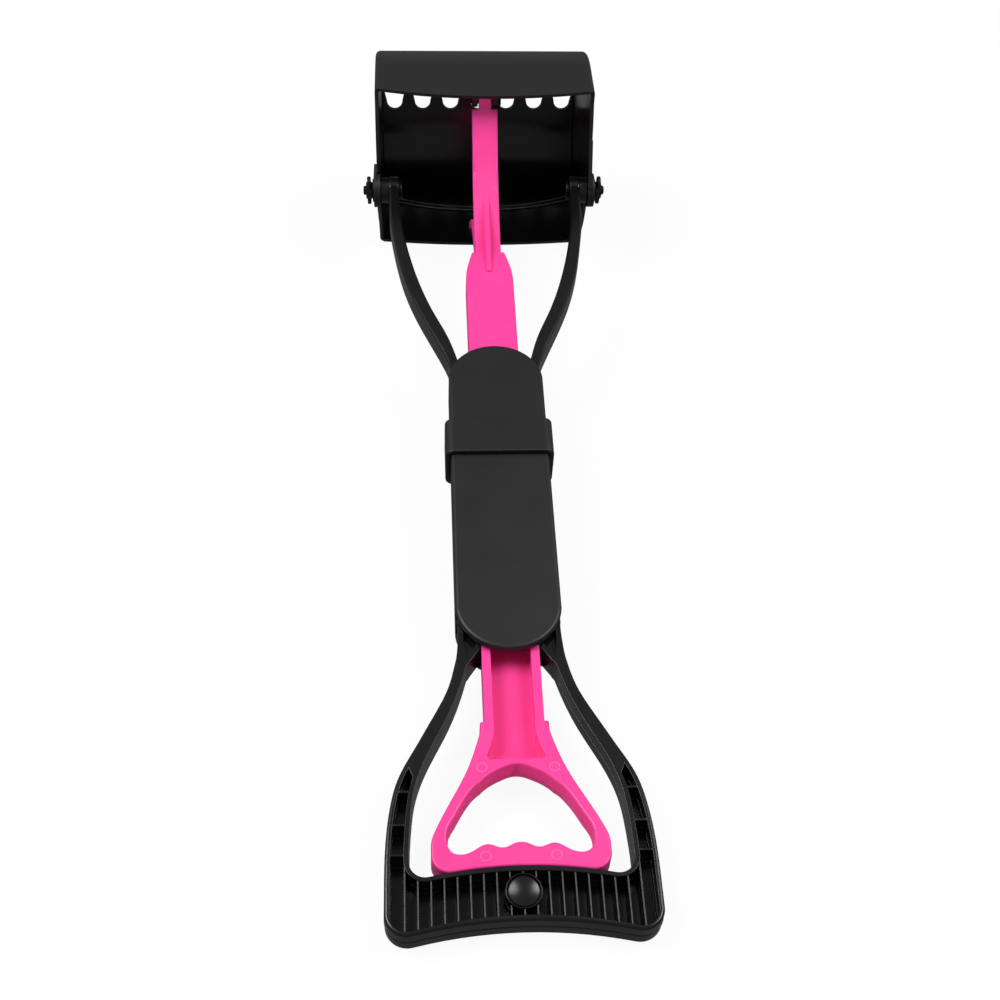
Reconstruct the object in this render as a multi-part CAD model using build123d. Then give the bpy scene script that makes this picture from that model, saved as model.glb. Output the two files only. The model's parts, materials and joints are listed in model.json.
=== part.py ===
from build123d import *
import math
import os

# Folding pooper scooper in millimetres, modelled along +Y with the handle at Y = 0.
# X is to the right, Z towards the front face; the last step lays the tool on its back.

# Handle frame
frame_half_width = 63.4
frame_half_thick = 8.0
frame_rounding = 1.6
frame_near = 10.2
frame_corner_low = 1.2
frame_corner = 10.5
frame_end = 146.0
grip_rest_at = 5.77
window_half_width = 52.0
window_near = 36.3
window_corner_low = 29.8
window_corner = 7.5
rim_width = 2.6
recess_depth = 12.4
rail_rib_places = (43.0, 58.0, 75.0)
rail_rib_width = 1.4
rib_drop = 0.5
grip_rib_span = 52.0
grip_rib_pitch = 6.0
grip_rib_width = 1.2
boss_centre = 24.0
boss_radius = 8.5
boss_dish_radius = 22.0
boss_dish_depth = 1.7
neck_half_thick = 7.6
neck_half_width = 26.4
neck_end = 173.8
neck_pocket_depth = 3.0
mouth_at = 154.0

# Central housing, split at the fold
fold_at = 300.0
fold_gap = 0.3
fold_axis_height = -12.5
knuckle_radius = 3.0
knuckle_clearance = 3.35
knuckle_split = 15.5
knuckle_reach = 22.0
knuckle_depth = 7.0
fold_pin_radius = 1.2
cover_half_width = 27.5
cover_half_thick = 12.0
cover_plate = 3.2
cover_wall = 1.9
cover_rounding = 2.0
cover_start = 151.0
cover_stop = 364.0
cover_arc_sagitta = 25.0
back_cover_lead = 3.0
core_half_width = 25.3
core_half_thick = 8.6
channel_half_width = 15.4
channel_half_thick = 7.2
web_start = 180.0
web_stop = 281.0
fork_core_end = 352.0

# Cover screws
screw_side = 20.4
handle_screws_at = (190.0, 262.0)
fork_screws_at = (314.0, 338.0)
screw_shank_radius = 1.4
screw_head_radius = 2.9
screw_length = 11.0

# Lock sleeve
sleeve_start = 279.0
sleeve_stop = 303.5
sleeve_half_width = 30.5
sleeve_wall = 2.5
sleeve_gap = 0.5
sleeve_corner = 5.0
sleeve_hump_half_width = 24.6

# Trigger and yoke rods
rod_half_width = 14.8
rod_half_thick = 7.0
rod_wall = 4.6
rod_floor = 2.6
trigger_half_width = 41.9
trigger_near = 36.7
trigger_corner_low = 32.5
trigger_corner = 8.5
trigger_rounding = 1.2
trigger_travel = 36.0
trigger_rod_end = 246.0
yoke_travel = 38.0
tongue_reach = 16.0
tongue_inner = 0.4
tongue_outer = 4.2
tongue_low = -2.4
tongue_high = 1.2
shoulder_at = 112.0
shoulder_half_width = 17.0
yoke_start = 361.8
yoke_end = 451.2
yoke_skin = 1.4
yoke_side_wall = 2.4
arm_root = (440.0, 2.4)
arm_width = 16.6
arm_thick = 4.6
arm_tab_half = 3.9
arm_tab_gap = 5.6
fin_half = 1.5

# Scoop
pivot_at = 519.0
scoop_half_width = 71.0
scoop_wall = 2.5
bowl_centre = 47.0
bowl_radius = 62.0
rim_side = 20.7
rim_bulge = 5.0
rim_height = 64.0
scoop_corner = 3.2
parting = 0.2
tooth_pitch = 19.9
notch_width = 10.8
notch_mouth = 14.3
notch_depth = 13.8
notch_count = 7
bead_near = 49.0
bead_sagitta = 12.0
bead_width = 3.2
bead_height = 0.9
ear_radius = 11.0
ear_clearance = 0.6
ear_thick = 2.0
play = 0.05
jaw_pin_at = (24.9, 53.3)
jaw_pin_radius = 2.0
lug_half = 4.0
lug_inner = 4.6
lug_outer = 8.4
pin_slot_centre = 24.75
pin_slot_half = 2.52

# Fork and pivots
arm_half_thick = 7.5
eye_radius = 9.0
eye_inner = 56.8
eye_outer = 63.0
bush_radius = 8.4
bolt_radius = 3.0
bolt_end = 80.0
bolt_head_radius = 6.0
washer_thick = 0.8
nut_thick = 4.2

# Return spring
spring_start = 322.5
spring_stop = 375.5
spring_mean_radius = 5.5
spring_wire = 1.0
spring_turns = 7
spring_height = -0.6


def slab(face, low, high):
    # Extrude a plan face, drawn as X and Y, between two heights.
    return extrude(face.moved(Location((0, 0, low))), high - low, dir=(0, 0, 1))


def block(x, y, z):
    # A box from three (low, high) pairs.
    size = [pair[1] - pair[0] for pair in (x, y, z)]
    middle = [(pair[0] + pair[1]) / 2 for pair in (x, y, z)]
    return Pos(*middle) * Box(*size)


def rod_x(radius, y, z, low, high):
    # A cylinder along X between two X values.
    turned = Rot(0, 90, 0) * Cylinder(radius, high - low)
    return Pos((low + high) / 2, y, z) * turned


def moved_sideways(points, amount):
    # The same run of points moved to its left by an amount, square to the run.
    result = []
    for i, (x, y) in enumerate(points):
        before = points[max(i - 1, 0)]
        after = points[min(i + 1, len(points) - 1)]
        run = math.dist(before, after)
        result.append((x - amount * (after[1] - before[1]) / run, y + amount * (after[0] - before[0]) / run))
    return result


def mirrored_face(right_edges, closing):
    # A plan face from its right-hand edges, their mirror images and the edges across the middle.
    edges = list(right_edges)
    for edge in right_edges:
        edges.append(mirror(edge, about=Plane.YZ))
    return make_face(edges + closing)


def frame_face(inset=0.0):
    # Outline of the grip and its two side rails, with the concave end towards the user.
    points = [(frame_half_width, 22), (63.0, 47), (60.9, 67), (57.3, 81.5), (49.9, 96.5), (40.6, 114),
              (32.8, 130), (28.2, frame_end)]
    points = moved_sideways(points, inset)
    corner = (frame_half_width - inset, frame_corner_low + inset)
    side = [Line(corner, points[0]), Spline(points, tangents=((0, 1), (-0.25, 1)))]
    near = ThreePointArc((-corner[0], corner[1]), (0, frame_near + inset), corner)
    last = points[-1]
    face = mirrored_face(side, [near, Line(last, (-last[0], last[1]))])
    return fillet(face.vertices().group_by(Axis.Y)[0], frame_corner - inset)


def window_face(outset=0.0):
    # The opening that the fingers and the trigger handle move in, up to the mouth of the channel.
    points = [(window_half_width, 42), (51.3, 58), (49.3, 75), (42.6, 94.4), (33.4, 113), (26.8, 129.5),
              (22.6, 143.5)]
    points = moved_sideways(points, -outset)
    corner = (window_half_width + outset, window_corner_low - outset)
    last = points[-1]
    mouth = (channel_half_width, mouth_at)
    side = [Line(corner, points[0]), Spline(points, tangents=((0, 1), (-0.28, 1))), Line(last, mouth)]
    near = ThreePointArc((-corner[0], corner[1]), (0, window_near - outset), corner)
    face = mirrored_face(side, [near, Line(mouth, (-mouth[0], mouth[1]))])
    return fillet(face.vertices().group_by(Axis.Y)[0], window_corner + outset)


def rail_pocket_limit():
    # Where the front recess may lie: it runs to a point on each side rail.
    tip = (54.4, 92)
    right = make_face(Polyline((0, 0), (70, 0), (70, 74), tip, (46, 74), (46, 60), (0, 60), (0, 0)))
    return right + mirror(right, about=Plane.YZ)


def long_edges(shape):
    # The edges of a slab's front and back faces, less the straight cut across its far end.
    faces = shape.faces().filter_by(Axis.Z)
    return [e for face in faces for e in face.edges() if e.center().Y < frame_end - 0.5]


def grip_frame():
    # The black D-shaped handle with its recessed front face, ribs and thumb boss.
    body = slab(frame_face(), -frame_half_thick, frame_half_thick)
    body = fillet(long_edges(body), frame_rounding)
    recess = (frame_face(rim_width) - window_face(rim_width)) & rail_pocket_limit()
    floor = frame_half_thick - recess_depth
    pocket = slab(recess, floor, frame_half_thick + 1)
    tops = (floor, frame_half_thick - rib_drop)
    ribs = []
    count = int(2 * grip_rib_span / grip_rib_pitch)
    for i in range(count + 1):
        x = (i - count / 2) * grip_rib_pitch
        ribs.append(block((x - grip_rib_width / 2, x + grip_rib_width / 2), (0, window_near + 2), tops))
    for y in rail_rib_places:
        across = (y - rail_rib_width / 2, y + rail_rib_width / 2)
        ribs.append(block((40, 70), across, tops))
        ribs.append(block((-70, -40), across, tops))
    pocket -= ribs
    boss = Pos(0, boss_centre, (floor + frame_half_thick) / 2) * Cylinder(boss_radius, recess_depth)
    pocket -= boss
    body -= pocket
    dish_at = frame_half_thick + boss_dish_radius - boss_dish_depth
    body -= Pos(0, boss_centre, dish_at) * Sphere(boss_dish_radius)
    return body


def screw_places(ends):
    return [(side * screw_side, y) for side in (-1, 1) for y in ends]


def neck():
    # The short solid neck between the side rails and the housing, with a sunk web each side.
    outer = Spline((28.2, frame_end), (27.0, 155), (neck_half_width, 166), tangents=((-0.25, 1), (0, 1)))
    top = (neck_half_width, neck_end)
    side = [outer, Line((neck_half_width, 166), top)]
    closing = [Line((28.2, frame_end), (-28.2, frame_end)), Line(top, (-top[0], top[1]))]
    body = slab(mirrored_face(side, closing), -neck_half_thick, neck_half_thick)
    body -= slab(window_face(), -20, 20)
    web = make_face(Polyline((17.2, 156.5), (22.4, 149), (23.6, 158), (23.2, 172), (17.2, 172), (17.2, 156.5)))
    for side_web in (web, mirror(web, about=Plane.YZ)):
        body -= slab(side_web, neck_half_thick - neck_pocket_depth, neck_half_thick + 1)
    return body


def handle_frame():
    # Grip frame and the two beams that run inside the housing, with outer hinge knuckles.
    window = slab(window_face(), -frame_half_thick - 1, frame_half_thick + 1)
    beams = (-core_half_width, core_half_width)
    core = block(beams, (neck_end, fold_at - fold_gap), (-core_half_thick, core_half_thick))
    body = grip_frame() + neck() + core
    body -= window
    body -= block((-channel_half_width, channel_half_width), (mouth_at - 1, fold_at + 1), (-20, 20))
    web_x = (-channel_half_width, channel_half_width)
    body += block(web_x, (web_start, web_stop), (channel_half_thick, core_half_thick))
    body += block(web_x, (web_start, web_stop), (-core_half_thick, -channel_half_thick))
    for side in (-1, 1):
        near, far = sorted((side * (knuckle_split + 0.5), side * knuckle_reach))
        foot = (fold_axis_height, -core_half_thick + 0.5)
        body += block((near, far), (fold_at - knuckle_depth, fold_at - 0.4), foot)
        body += rod_x(knuckle_radius, fold_at, fold_axis_height, near, far)
        body -= rod_x(fold_pin_radius + 0.02, fold_at, fold_axis_height, near - 1, far + 1)
    for x, y in screw_places(handle_screws_at):
        body -= Pos(x, y, -core_half_thick) * Cylinder(screw_shank_radius + play, 2 * screw_length)
    return body


def stadium_half(start, stop, round_at_start):
    # Half of the long cover: one straight cut end and one shallow arc end.
    half = cover_half_width
    if round_at_start:
        tip, flat, shoulder = start, stop, start + cover_arc_sagitta
    else:
        tip, flat, shoulder = stop, start, stop - cover_arc_sagitta
    arc = ThreePointArc((-half, shoulder), (0, tip), (half, shoulder))
    far_side = Line((half, shoulder), (half, flat))
    near_side = Line((-half, flat), (-half, shoulder))
    return make_face([arc, far_side, Line((half, flat), (-half, flat)), near_side])


def cover(start, stop, round_at_start):
    # A cover: a thick plate with a softened edge and two side skirts, for the front face.
    face = stadium_half(start, stop, round_at_start)
    plate = slab(face, play * 2, cover_half_thick)
    top_edges = plate.faces().sort_by(Axis.Z)[-1].edges()
    fold_y = stop if round_at_start else start
    rims = [e for e in top_edges if abs(e.center().Y - fold_y) > 0.5]
    plate = fillet(rims, cover_rounding)
    inner = cover_half_width - cover_wall
    low = (-1, cover_half_thick - cover_plate)
    plate -= block((-inner, inner), (start - 5, stop + 5), low)
    if round_at_start:
        skirt_cut = (start - 5, start + cover_arc_sagitta + 1)
    else:
        skirt_cut = (stop - cover_arc_sagitta - 1, stop + 5)
    plate -= block((-40, 40), skirt_cut, low)
    return plate


def flip_to_back(shape):
    return mirror(shape, about=Plane.XY)


def back_cover(start, stop, round_at_start, screws):
    # The same cover turned to the back, relieved round the hinge and drilled for screws.
    shape = flip_to_back(cover(start, stop, round_at_start))
    reach = knuckle_reach + 0.6
    shape -= rod_x(knuckle_clearance, fold_at, fold_axis_height, -reach, reach)
    depth = knuckle_depth + 0.4
    along = (fold_at - depth, fold_at) if round_at_start else (fold_at, fold_at + depth)
    shape -= block((-reach, reach), along, (-20, -5))
    for x, y in screw_places(screws):
        shape -= Pos(x, y, -cover_half_thick) * Cylinder(screw_shank_radius + 2 * play, 2 * screw_length)
        shape -= Pos(x, y, -cover_half_thick) * Cylinder(screw_head_radius + 0.2, 3.0)
    return shape


def cover_screws(places):
    # Pan head screws driven from the back into the beams.
    shape = None
    for x, y in screw_places(places):
        head = Pos(x, y, -cover_half_thick + 0.6) * Cylinder(screw_head_radius, 1.8)
        middle = -cover_half_thick + 1 + screw_length / 2
        shank = Pos(x, y, middle) * Cylinder(screw_shank_radius, screw_length)
        slot = Box(3.4, 0.8, 1.2) + Box(0.8, 3.4, 1.2)
        one = head + shank - Pos(x, y, -cover_half_thick) * slot
        shape = one if shape is None else shape + one
    return shape


def lock_sleeve():
    # A close band round both halves, with a raised back that clears the hinge knuckles.
    inner_x = cover_half_width + sleeve_gap
    inner_z = cover_half_thick + sleeve_gap
    outer_z = inner_z + sleeve_wall
    length = sleeve_stop - sleeve_start
    hump = fold_axis_height - knuckle_radius - 0.4
    upright = Rot(90, 0, 0)
    outline = RectangleRounded(2 * sleeve_half_width, 2 * outer_z, sleeve_corner)
    outer = upright * extrude(outline, length / 2, both=True)
    half = sleeve_hump_half_width
    outer += block((-half, half), (-length / 2, length / 2), (hump - 2.2, 0))
    outer = fillet(outer.edges().filter_by(Plane.XZ), 0.8)
    hole = RectangleRounded(2 * inner_x, 2 * inner_z, sleeve_corner - sleeve_wall)
    inner = upright * extrude(hole, length, both=True)
    half = half - 2.0
    inner += block((-half, half), (-length, length), (hump, 0))
    return Pos(0, (sleeve_start + sleeve_stop) / 2, 0) * (outer - inner)


def trigger_window():
    # The finger opening, one closed curve: an arch at the top and three soft bumps between the fingers.
    half = [(0, 89), (20.3, 82.3), (31.6, 62.5), (34.4, 49.5), (32.2, 44.4), (27.3, 42.9), (21.4, 45.0),
            (16.1, 47.2), (12.2, 46.0), (8.4, 44.4), (4.2, 46.6), (0, 48.1)]
    left = [(-x, y) for x, y in half[-2:0:-1]]
    return make_face(Spline(half + left, periodic=True))


def trigger_handle():
    # The pink D the fingers pull, its channel rod and the tongue that reaches the fold.
    corner = (trigger_half_width, trigger_corner_low)
    start = (trigger_half_width, 47)
    top = (shoulder_half_width, shoulder_at)
    flank = Spline(start, (39.9, 55), (31.0, 72.5), (22.5, 90), (17.9, 104), top, tangents=((0, 1), (0, 1)))
    near = ThreePointArc((-corner[0], corner[1]), (0, trigger_near), corner)
    outline = mirrored_face([Line(corner, start), flank], [near, Line(top, (-top[0], top[1]))])
    outline = fillet(outline.vertices().group_by(Axis.Y)[0], trigger_corner)
    body = slab(outline - trigger_window(), -rod_half_thick, rod_half_thick)
    faces = body.faces().filter_by(Axis.Z)
    edges = [e for face in faces for e in face.edges() if e.center().Y < shoulder_at - 0.5]
    body = fillet(edges, trigger_rounding)
    width = (-rod_half_width, rod_half_width)
    body += block(width, (shoulder_at - 7, trigger_rod_end), (-rod_half_thick, rod_half_thick))
    half = rod_half_width - rod_wall
    end = trigger_rod_end - 4
    flare = make_face(Polyline((-15, 91.6), (15, 91.6), (12, 99), (half, 106), (half, end), (-half, end),
                               (-half, 106), (-12, 99), (-15, 91.6)))
    flare = fillet(flare.vertices().group_by(Axis.Y)[0], 2.0)
    body -= slab(flare, rod_floor - rod_half_thick, 20)
    reach = (trigger_rod_end - 2, fold_at + tongue_reach - trigger_travel)
    body += block((-tongue_outer, -tongue_inner), reach, (tongue_low, tongue_high))
    return body


def arm_tab():
    # The narrow end of the front arm: two prongs with an open slot that the jaw's cross pin slides in.
    d, h = jaw_pin_at
    left, right, top = d - 4.7, d + 4.4, h + 6.6
    plate = section_face([Line((left, top), (right, top)), Line((right, top), (right, h - 1.5)),
                          ThreePointArc((right, h - 1.5), (d + 1.4, h - 4.6), (d - 2.4, h - 6.4)),
                          Line((d - 2.4, h - 6.4), (left - 1.6, h - 4.6)),
                          Line((left - 1.6, h - 4.6), (left, top))])
    tab = extrude(plate, arm_tab_half, both=True)
    tab = fillet(tab.edges().filter_by(Axis.X).group_by(Axis.Z)[-1], 0.8)
    middle = pivot_at + pin_slot_centre
    floor = h - 0.1
    slot = block((-9, 9), (middle - pin_slot_half, middle + pin_slot_half), (floor, top + 2))
    slot += rod_x(pin_slot_half, middle, floor, -9, 9)
    return tab, slot


def yoke_arm():
    # The front arm: a flat strip bent to a single arc, with a fin at its root and a slotted tab.
    d, h = jaw_pin_at
    stop = (pivot_at + d, h)
    plane = Plane(origin=(0, 0, 0), x_dir=(0, 1, 0), z_dir=(1, 0, 0))
    rise = math.atan2(stop[1] - arm_root[1], stop[0] - arm_root[0])
    radius = math.dist(arm_root, stop) / 2 / math.sin(rise)
    spine = plane * JernArc(arm_root, (1, 0), radius, 2 * math.degrees(rise))
    frame = Plane(origin=spine @ 0, x_dir=(1, 0, 0), z_dir=spine % 0)
    strip = sweep(frame * RectangleRounded(arm_width, arm_thick, 1.0), path=spine)
    tab, slot = arm_tab()
    past = 20.0
    ahead = Plane(origin=spine @ 1, x_dir=(1, 0, 0), z_dir=spine % 1)
    for side in (-1, 1):
        beside = Pos(side * (arm_tab_half + past / 2), 0, past / 2 - arm_tab_gap) * Box(past, past, past)
        strip -= ahead * beside
    fin = plane * make_face(Polyline((432.4, 1), (432.4, 8.2), (493, 16.4), (493, 14), (470, 6), (451, 2),
                                     (432.4, 1)))
    return strip + extrude(fin, fin_half, both=True) + tab - slot


def yoke():
    # The pink rod that splits into two arms, with the tongue and the wall the spring pushes on.
    start = (rod_half_width, yoke_start)
    bend = (rod_half_width, 424)
    end = (12.2, yoke_end)
    side = [Line(start, bend), Spline(bend, (13.9, 438), end, tangents=((0, 1), (-0.25, 1)))]
    outline = mirrored_face(side, [Line(start, (-start[0], start[1])), Line(end, (-end[0], end[1]))])
    outline = fillet(outline.vertices().group_by(Axis.Y)[-1], 3.5)
    body = slab(outline, -rod_half_thick, rod_half_thick)
    top = body.faces().sort_by(Axis.Z)[-1]
    body = fillet([e for e in top.edges() if e.center().Y > yoke_start + 0.5], 1.4)
    inner = rod_half_width - yoke_side_wall
    for bay in ((350, 376), (379, 400), (402, 426)):
        body -= block((-inner, inner), bay, (-20, rod_half_thick - yoke_skin))
    reach = (fold_at + yoke_travel - tongue_reach, 377)
    body += block((tongue_inner, tongue_outer), reach, (tongue_low, tongue_high))
    arm = yoke_arm()
    return body + arm + mirror(arm, about=Plane.XY)


def jaw_section(inset):
    # Half section of the bowl, as distance past the pivot and height, moved in by the wall.
    radius = bowl_radius - inset
    reach = math.hypot(bowl_centre - rim_side, rim_height)
    lean = math.atan2(rim_height, rim_side - bowl_centre) - math.acos(bowl_radius / reach)
    top = (bowl_centre + radius * math.cos(lean), radius * math.sin(lean))
    slope = (-math.sin(lean), math.cos(lean))
    length = 60.0
    rim = (top[0] + length * slope[0], top[1] + length * slope[1])
    middle = lean / 2
    via = (bowl_centre + radius * math.cos(middle), radius * math.sin(middle))
    return top, rim, via, (bowl_centre + radius, 0.0)


def section_face(points):
    plane = Plane(origin=(0, pivot_at, 0), x_dir=(0, 1, 0), z_dir=(1, 0, 0))
    return plane * make_face(points)


def bowl(inset):
    # The solid that one side of the wall follows, with its far corners rounded.
    half = scoop_half_width - inset
    top, rim, via, tip = jaw_section(inset)
    low = -5 if inset else 0
    edges = [ThreePointArc(tip, via, top), Line(top, rim), Line(rim, (rim[0], low))]
    edges.append(Line((rim[0], low), (tip[0], low)))
    if inset:
        edges.append(Line((tip[0], low), tip))
    shape = extrude(section_face(edges), half, both=True)
    corners = [e for e in shape.edges() if abs(abs(e.center().X) - half) < 0.1]
    corners = [e for e in corners if e.center().Z > 20 and e.center().Y > pivot_at + 10]
    return fillet(corners, scoop_corner - inset)


def jaw():
    # The front jaw; its ear on the right is flush with the wall, the one on the left lies outside.
    inner = bowl(scoop_wall)
    shell = bowl(0) - inner

    # The rim bulges towards the handle, and each side wall leans back down to its ear.
    wide = scoop_half_width
    wall_top = rim_height - 10
    rim_arc = ThreePointArc((-wide, rim_side), (0, rim_side - rim_bulge), (wide, rim_side))
    before = make_face([rim_arc, Line((wide, rim_side), (wide, -60)), Line((wide, -60), (-wide, -60)),
                        Line((-wide, -60), (-wide, rim_side))])
    shell -= Pos(0, pivot_at, 0) * slab(before, wall_top, 90)
    side_edge = [Line((rim_side, wall_top), (rim_side, 90)), Line((rim_side, 90), (-60, 90)),
                 Line((-60, 90), (-60, -1)), Line((-60, -1), (9, -1)),
                 ThreePointArc((9, -1), (10, 26), (rim_side, wall_top))]
    between_walls = block((scoop_wall - wide, wide - scoop_wall), (400, 700), (wall_top, 90))
    shell -= extrude(section_face(side_edge), 100, both=True) - between_walls
    shell -= block((-100, 100), (400, 700), (-50, parting))

    # Ears: the wall on the left is cut away round the other jaw's flush ear.
    shell -= rod_x(ear_radius + ear_clearance, pivot_at, 0, -wide - 1, -wide + scoop_wall + 0.5)
    shell += flush_ear(wide - scoop_wall, wide)
    shell += outer_ear()
    for side in (-1, 1):
        shell -= rod_x(bolt_radius + 0.06, pivot_at, 0, side * 65 - 12, side * 65 + 12)

    # Teeth: round-bottomed notches, a little wider at the mouth.
    for i in range(notch_count):
        x = (i - (notch_count - 1) / 2) * tooth_pitch
        shell -= notch(x)
    return shell + bead(inner) + lugs()


def bead(inner):
    # A low bead across the inside of the bowl, bowed the same way as the rim.
    wide = scoop_half_width
    near = ThreePointArc((-wide, bead_near + bead_sagitta), (0, bead_near), (wide, bead_near + bead_sagitta))
    far = near.moved(Location((0, bead_width, 0)))
    ends = [Line(near @ 1, far @ 1), Line(far @ 0, near @ 0)]
    strip = Pos(0, pivot_at, 0) * slab(make_face([near, far] + ends), 20, 60)
    lower = Pos(0, 0, -bead_height) * inner
    grown = inner & strip
    return grown - lower


def flush_ear(low, high):
    # A rounded ear about the pivot with a web that runs up the side wall.
    disc = rod_x(ear_radius, pivot_at, 0, low, high)
    foot = (-ear_radius * 0.78, ear_radius * 0.71)
    web = make_face(Polyline(foot, (8.4, 34), (22, 30), (22, parting), (0, parting), foot))
    web = Plane(origin=(0, pivot_at, 0), x_dir=(0, 1, 0), z_dir=(1, 0, 0)) * web
    return disc + Pos(low, 0, 0) * extrude(web, high - low, dir=(1, 0, 0))


def outer_ear():
    # The ear that laps outside the other jaw's, joined to its own wall beyond the clearance.
    high = -scoop_half_width - play
    low = high - ear_thick
    lobe = make_face(Polyline((0, parting), (20, parting), (20, 6), (2, ear_radius), (0, ear_radius),
                              (0, parting)))
    lobe = Plane(origin=(0, pivot_at, 0), x_dir=(0, 1, 0), z_dir=(1, 0, 0)) * lobe
    pad = Pos(high, 0, 0) * extrude(lobe, 1.0, dir=(1, 0, 0))
    pad -= rod_x(ear_radius + ear_clearance, pivot_at, 0, high - 1, high + 2)
    disc = rod_x(ear_radius, pivot_at, 0, low, high)
    return disc + Pos(low, 0, 0) * extrude(lobe, ear_thick, dir=(1, 0, 0)) + pad


def notch(x):
    half = notch_width / 2
    flank = notch_mouth / 2
    straight = notch_depth - half
    shape = [Line((-flank, 0), (-half, straight)),
             ThreePointArc((-half, straight), (0, notch_depth), (half, straight)),
             Line((half, straight), (flank, 0)), Line((flank, 0), (-flank, 0))]
    plane = Plane(origin=(x, pivot_at + 80, 0), x_dir=(1, 0, 0), z_dir=(0, -1, 0))
    return extrude(plane * make_face(shape), 60, dir=(0, 1, 0))


def lugs():
    # Two plates on the inner face that hold the cross pin each side of the arm's tab.
    d, h = jaw_pin_at
    wall = rim_height - 1.6
    near, far = d - lug_half, d + lug_half
    outline = [Line((near, wall), (far, wall - 0.5)), Line((far, wall - 0.5), (far, h)),
               ThreePointArc((far, h), (d, h - lug_half), (near, h)), Line((near, h), (near, wall))]
    plate = extrude(section_face(outline), lug_outer - lug_inner, dir=(1, 0, 0))
    pair = Pos(lug_inner, 0, 0) * plate + Pos(-lug_outer, 0, 0) * plate
    return pair - rod_x(jaw_pin_radius + 0.02, pivot_at + d, h, -20, 20)


def back_from_front(shape):
    # The second jaw is the same moulding turned half round the tool's long axis.
    return Rot(0, 180, 0) * shape


def jaw_pin(sign):
    # Cross pin of one jaw, with a small head at one end.
    y = pivot_at + jaw_pin_at[0]
    z = sign * jaw_pin_at[1]
    end = lug_outer + 1.2
    return rod_x(jaw_pin_radius, y, z, -end, end) + rod_x(3.2, y, z, lug_outer + play, end + 0.8)


def fork_frame():
    # Beams inside the housing, the seat wall for the spring and the two long outer arms.
    start = fold_at + fold_gap
    beams = (-core_half_width, core_half_width)
    body = block(beams, (start, fork_core_end), (-core_half_thick, core_half_thick))
    body -= block((-channel_half_width, channel_half_width), (start - 1, fork_core_end + 8), (-20, 20))
    web_x = (-channel_half_width - 0.1, channel_half_width + 0.1)
    body += block(web_x, (328, fork_core_end), (channel_half_thick, core_half_thick))
    body += block(web_x, (start, fork_core_end), (-core_half_thick, -channel_half_thick))
    seat = block(web_x, (319.2, 321.4), (-channel_half_thick - 0.1, core_half_thick))
    seat -= block((tongue_inner - 0.3, tongue_outer + 0.3), (300, 330), (tongue_low - 0.3, tongue_high + 0.3))
    body += seat
    middle = knuckle_split - 0.1
    body += block((-middle, middle), (start + 0.1, start + 6), (fold_axis_height, -channel_half_thick - 0.3))
    body += rod_x(knuckle_radius, fold_at, fold_axis_height, -middle, middle)
    for side in (-1, 1):
        near, far = sorted((side * (knuckle_split + 0.1), side * (knuckle_reach + 0.4)))
        body -= rod_x(knuckle_clearance, fold_at, fold_axis_height, near, far)
    body -= rod_x(fold_pin_radius + play, fold_at, fold_axis_height, -20, 20)
    arm = fork_arm()
    body += arm + mirror(arm, about=Plane.YZ)
    for x, y in screw_places(fork_screws_at):
        body -= Pos(x, y, -core_half_thick) * Cylinder(screw_shank_radius + play, 2 * screw_length)
    return body


def fork_arm():
    # The right arm, which swings out round the scoop's mouth and ends in a bolt eye.
    outer = Spline((core_half_width, 344), (30.6, 364), (43.4, 396), (54.0, 430), (60.2, 465),
                   (eye_outer, pivot_at), tangents=((0.1, 1), (0, 1)))
    inner = Spline((eye_inner, pivot_at), (52.4, 464), (45.0, 428), (34.8, 396), (26.6, 375), (21.4, 356),
                   (18.6, 344), tangents=((0, -1), (-0.2, -1)))
    ends = [Line((eye_inner, pivot_at), (eye_outer, pivot_at)), Line((core_half_width, 344), (18.6, 344))]
    arm = slab(make_face([outer, inner] + ends), -arm_half_thick, arm_half_thick)
    edges = [e for e in arm.edges() if abs(abs(e.center().Z) - arm_half_thick) < 0.01 and e.length > 50]
    arm = fillet(edges, 1.6)
    arm += rod_x(eye_radius, pivot_at, 0, eye_inner, eye_outer)
    return arm - rod_x(bolt_radius + 0.03, pivot_at, 0, 40, 90)


def pivot_bolt():
    # Flat head inside the fork arm, shank through the stack.
    shank = rod_x(bolt_radius, pivot_at, 0, eye_inner - 1, bolt_end)
    shank = chamfer(shank.faces().sort_by(Axis.X)[-1].edges(), 0.7)
    head = rod_x(bolt_head_radius, pivot_at, 0, eye_inner - 2.7, eye_inner - play)
    head = fillet(head.faces().sort_by(Axis.X)[0].edges(), 1.2)
    return shank + head


def ring(inner, outer, low, high):
    return rod_x(outer, pivot_at, 0, low, high) - rod_x(inner, pivot_at, 0, low - 1, high + 1)


def washer_low():
    return scoop_half_width + ear_thick + 2 * play


def wing_nut():
    # A boss with two upright wings that thin towards their tips.
    low = washer_low() + washer_thick + 0.1
    high = low + nut_thick
    boss = rod_x(5.4, pivot_at, 0, low, high)
    wings = [Line((-3.6, -3), (-3.6, 4)), ThreePointArc((-3.6, 4), (0, 10.4), (3.6, 4)),
             Line((3.6, 4), (3.6, -3)), Line((3.6, -3), (-3.6, -3))]
    blade = Pos(low + 1.0, 0, 0) * extrude(section_face(wings), 2.4, dir=(1, 0, 0))
    nut = boss + blade + mirror(blade, about=Plane.XY)
    return nut - rod_x(bolt_radius + 0.03, pivot_at, 0, low - 1, high + 2)


def fold_pin():
    return rod_x(fold_pin_radius, fold_at, fold_axis_height, -knuckle_reach, knuckle_reach)


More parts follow.
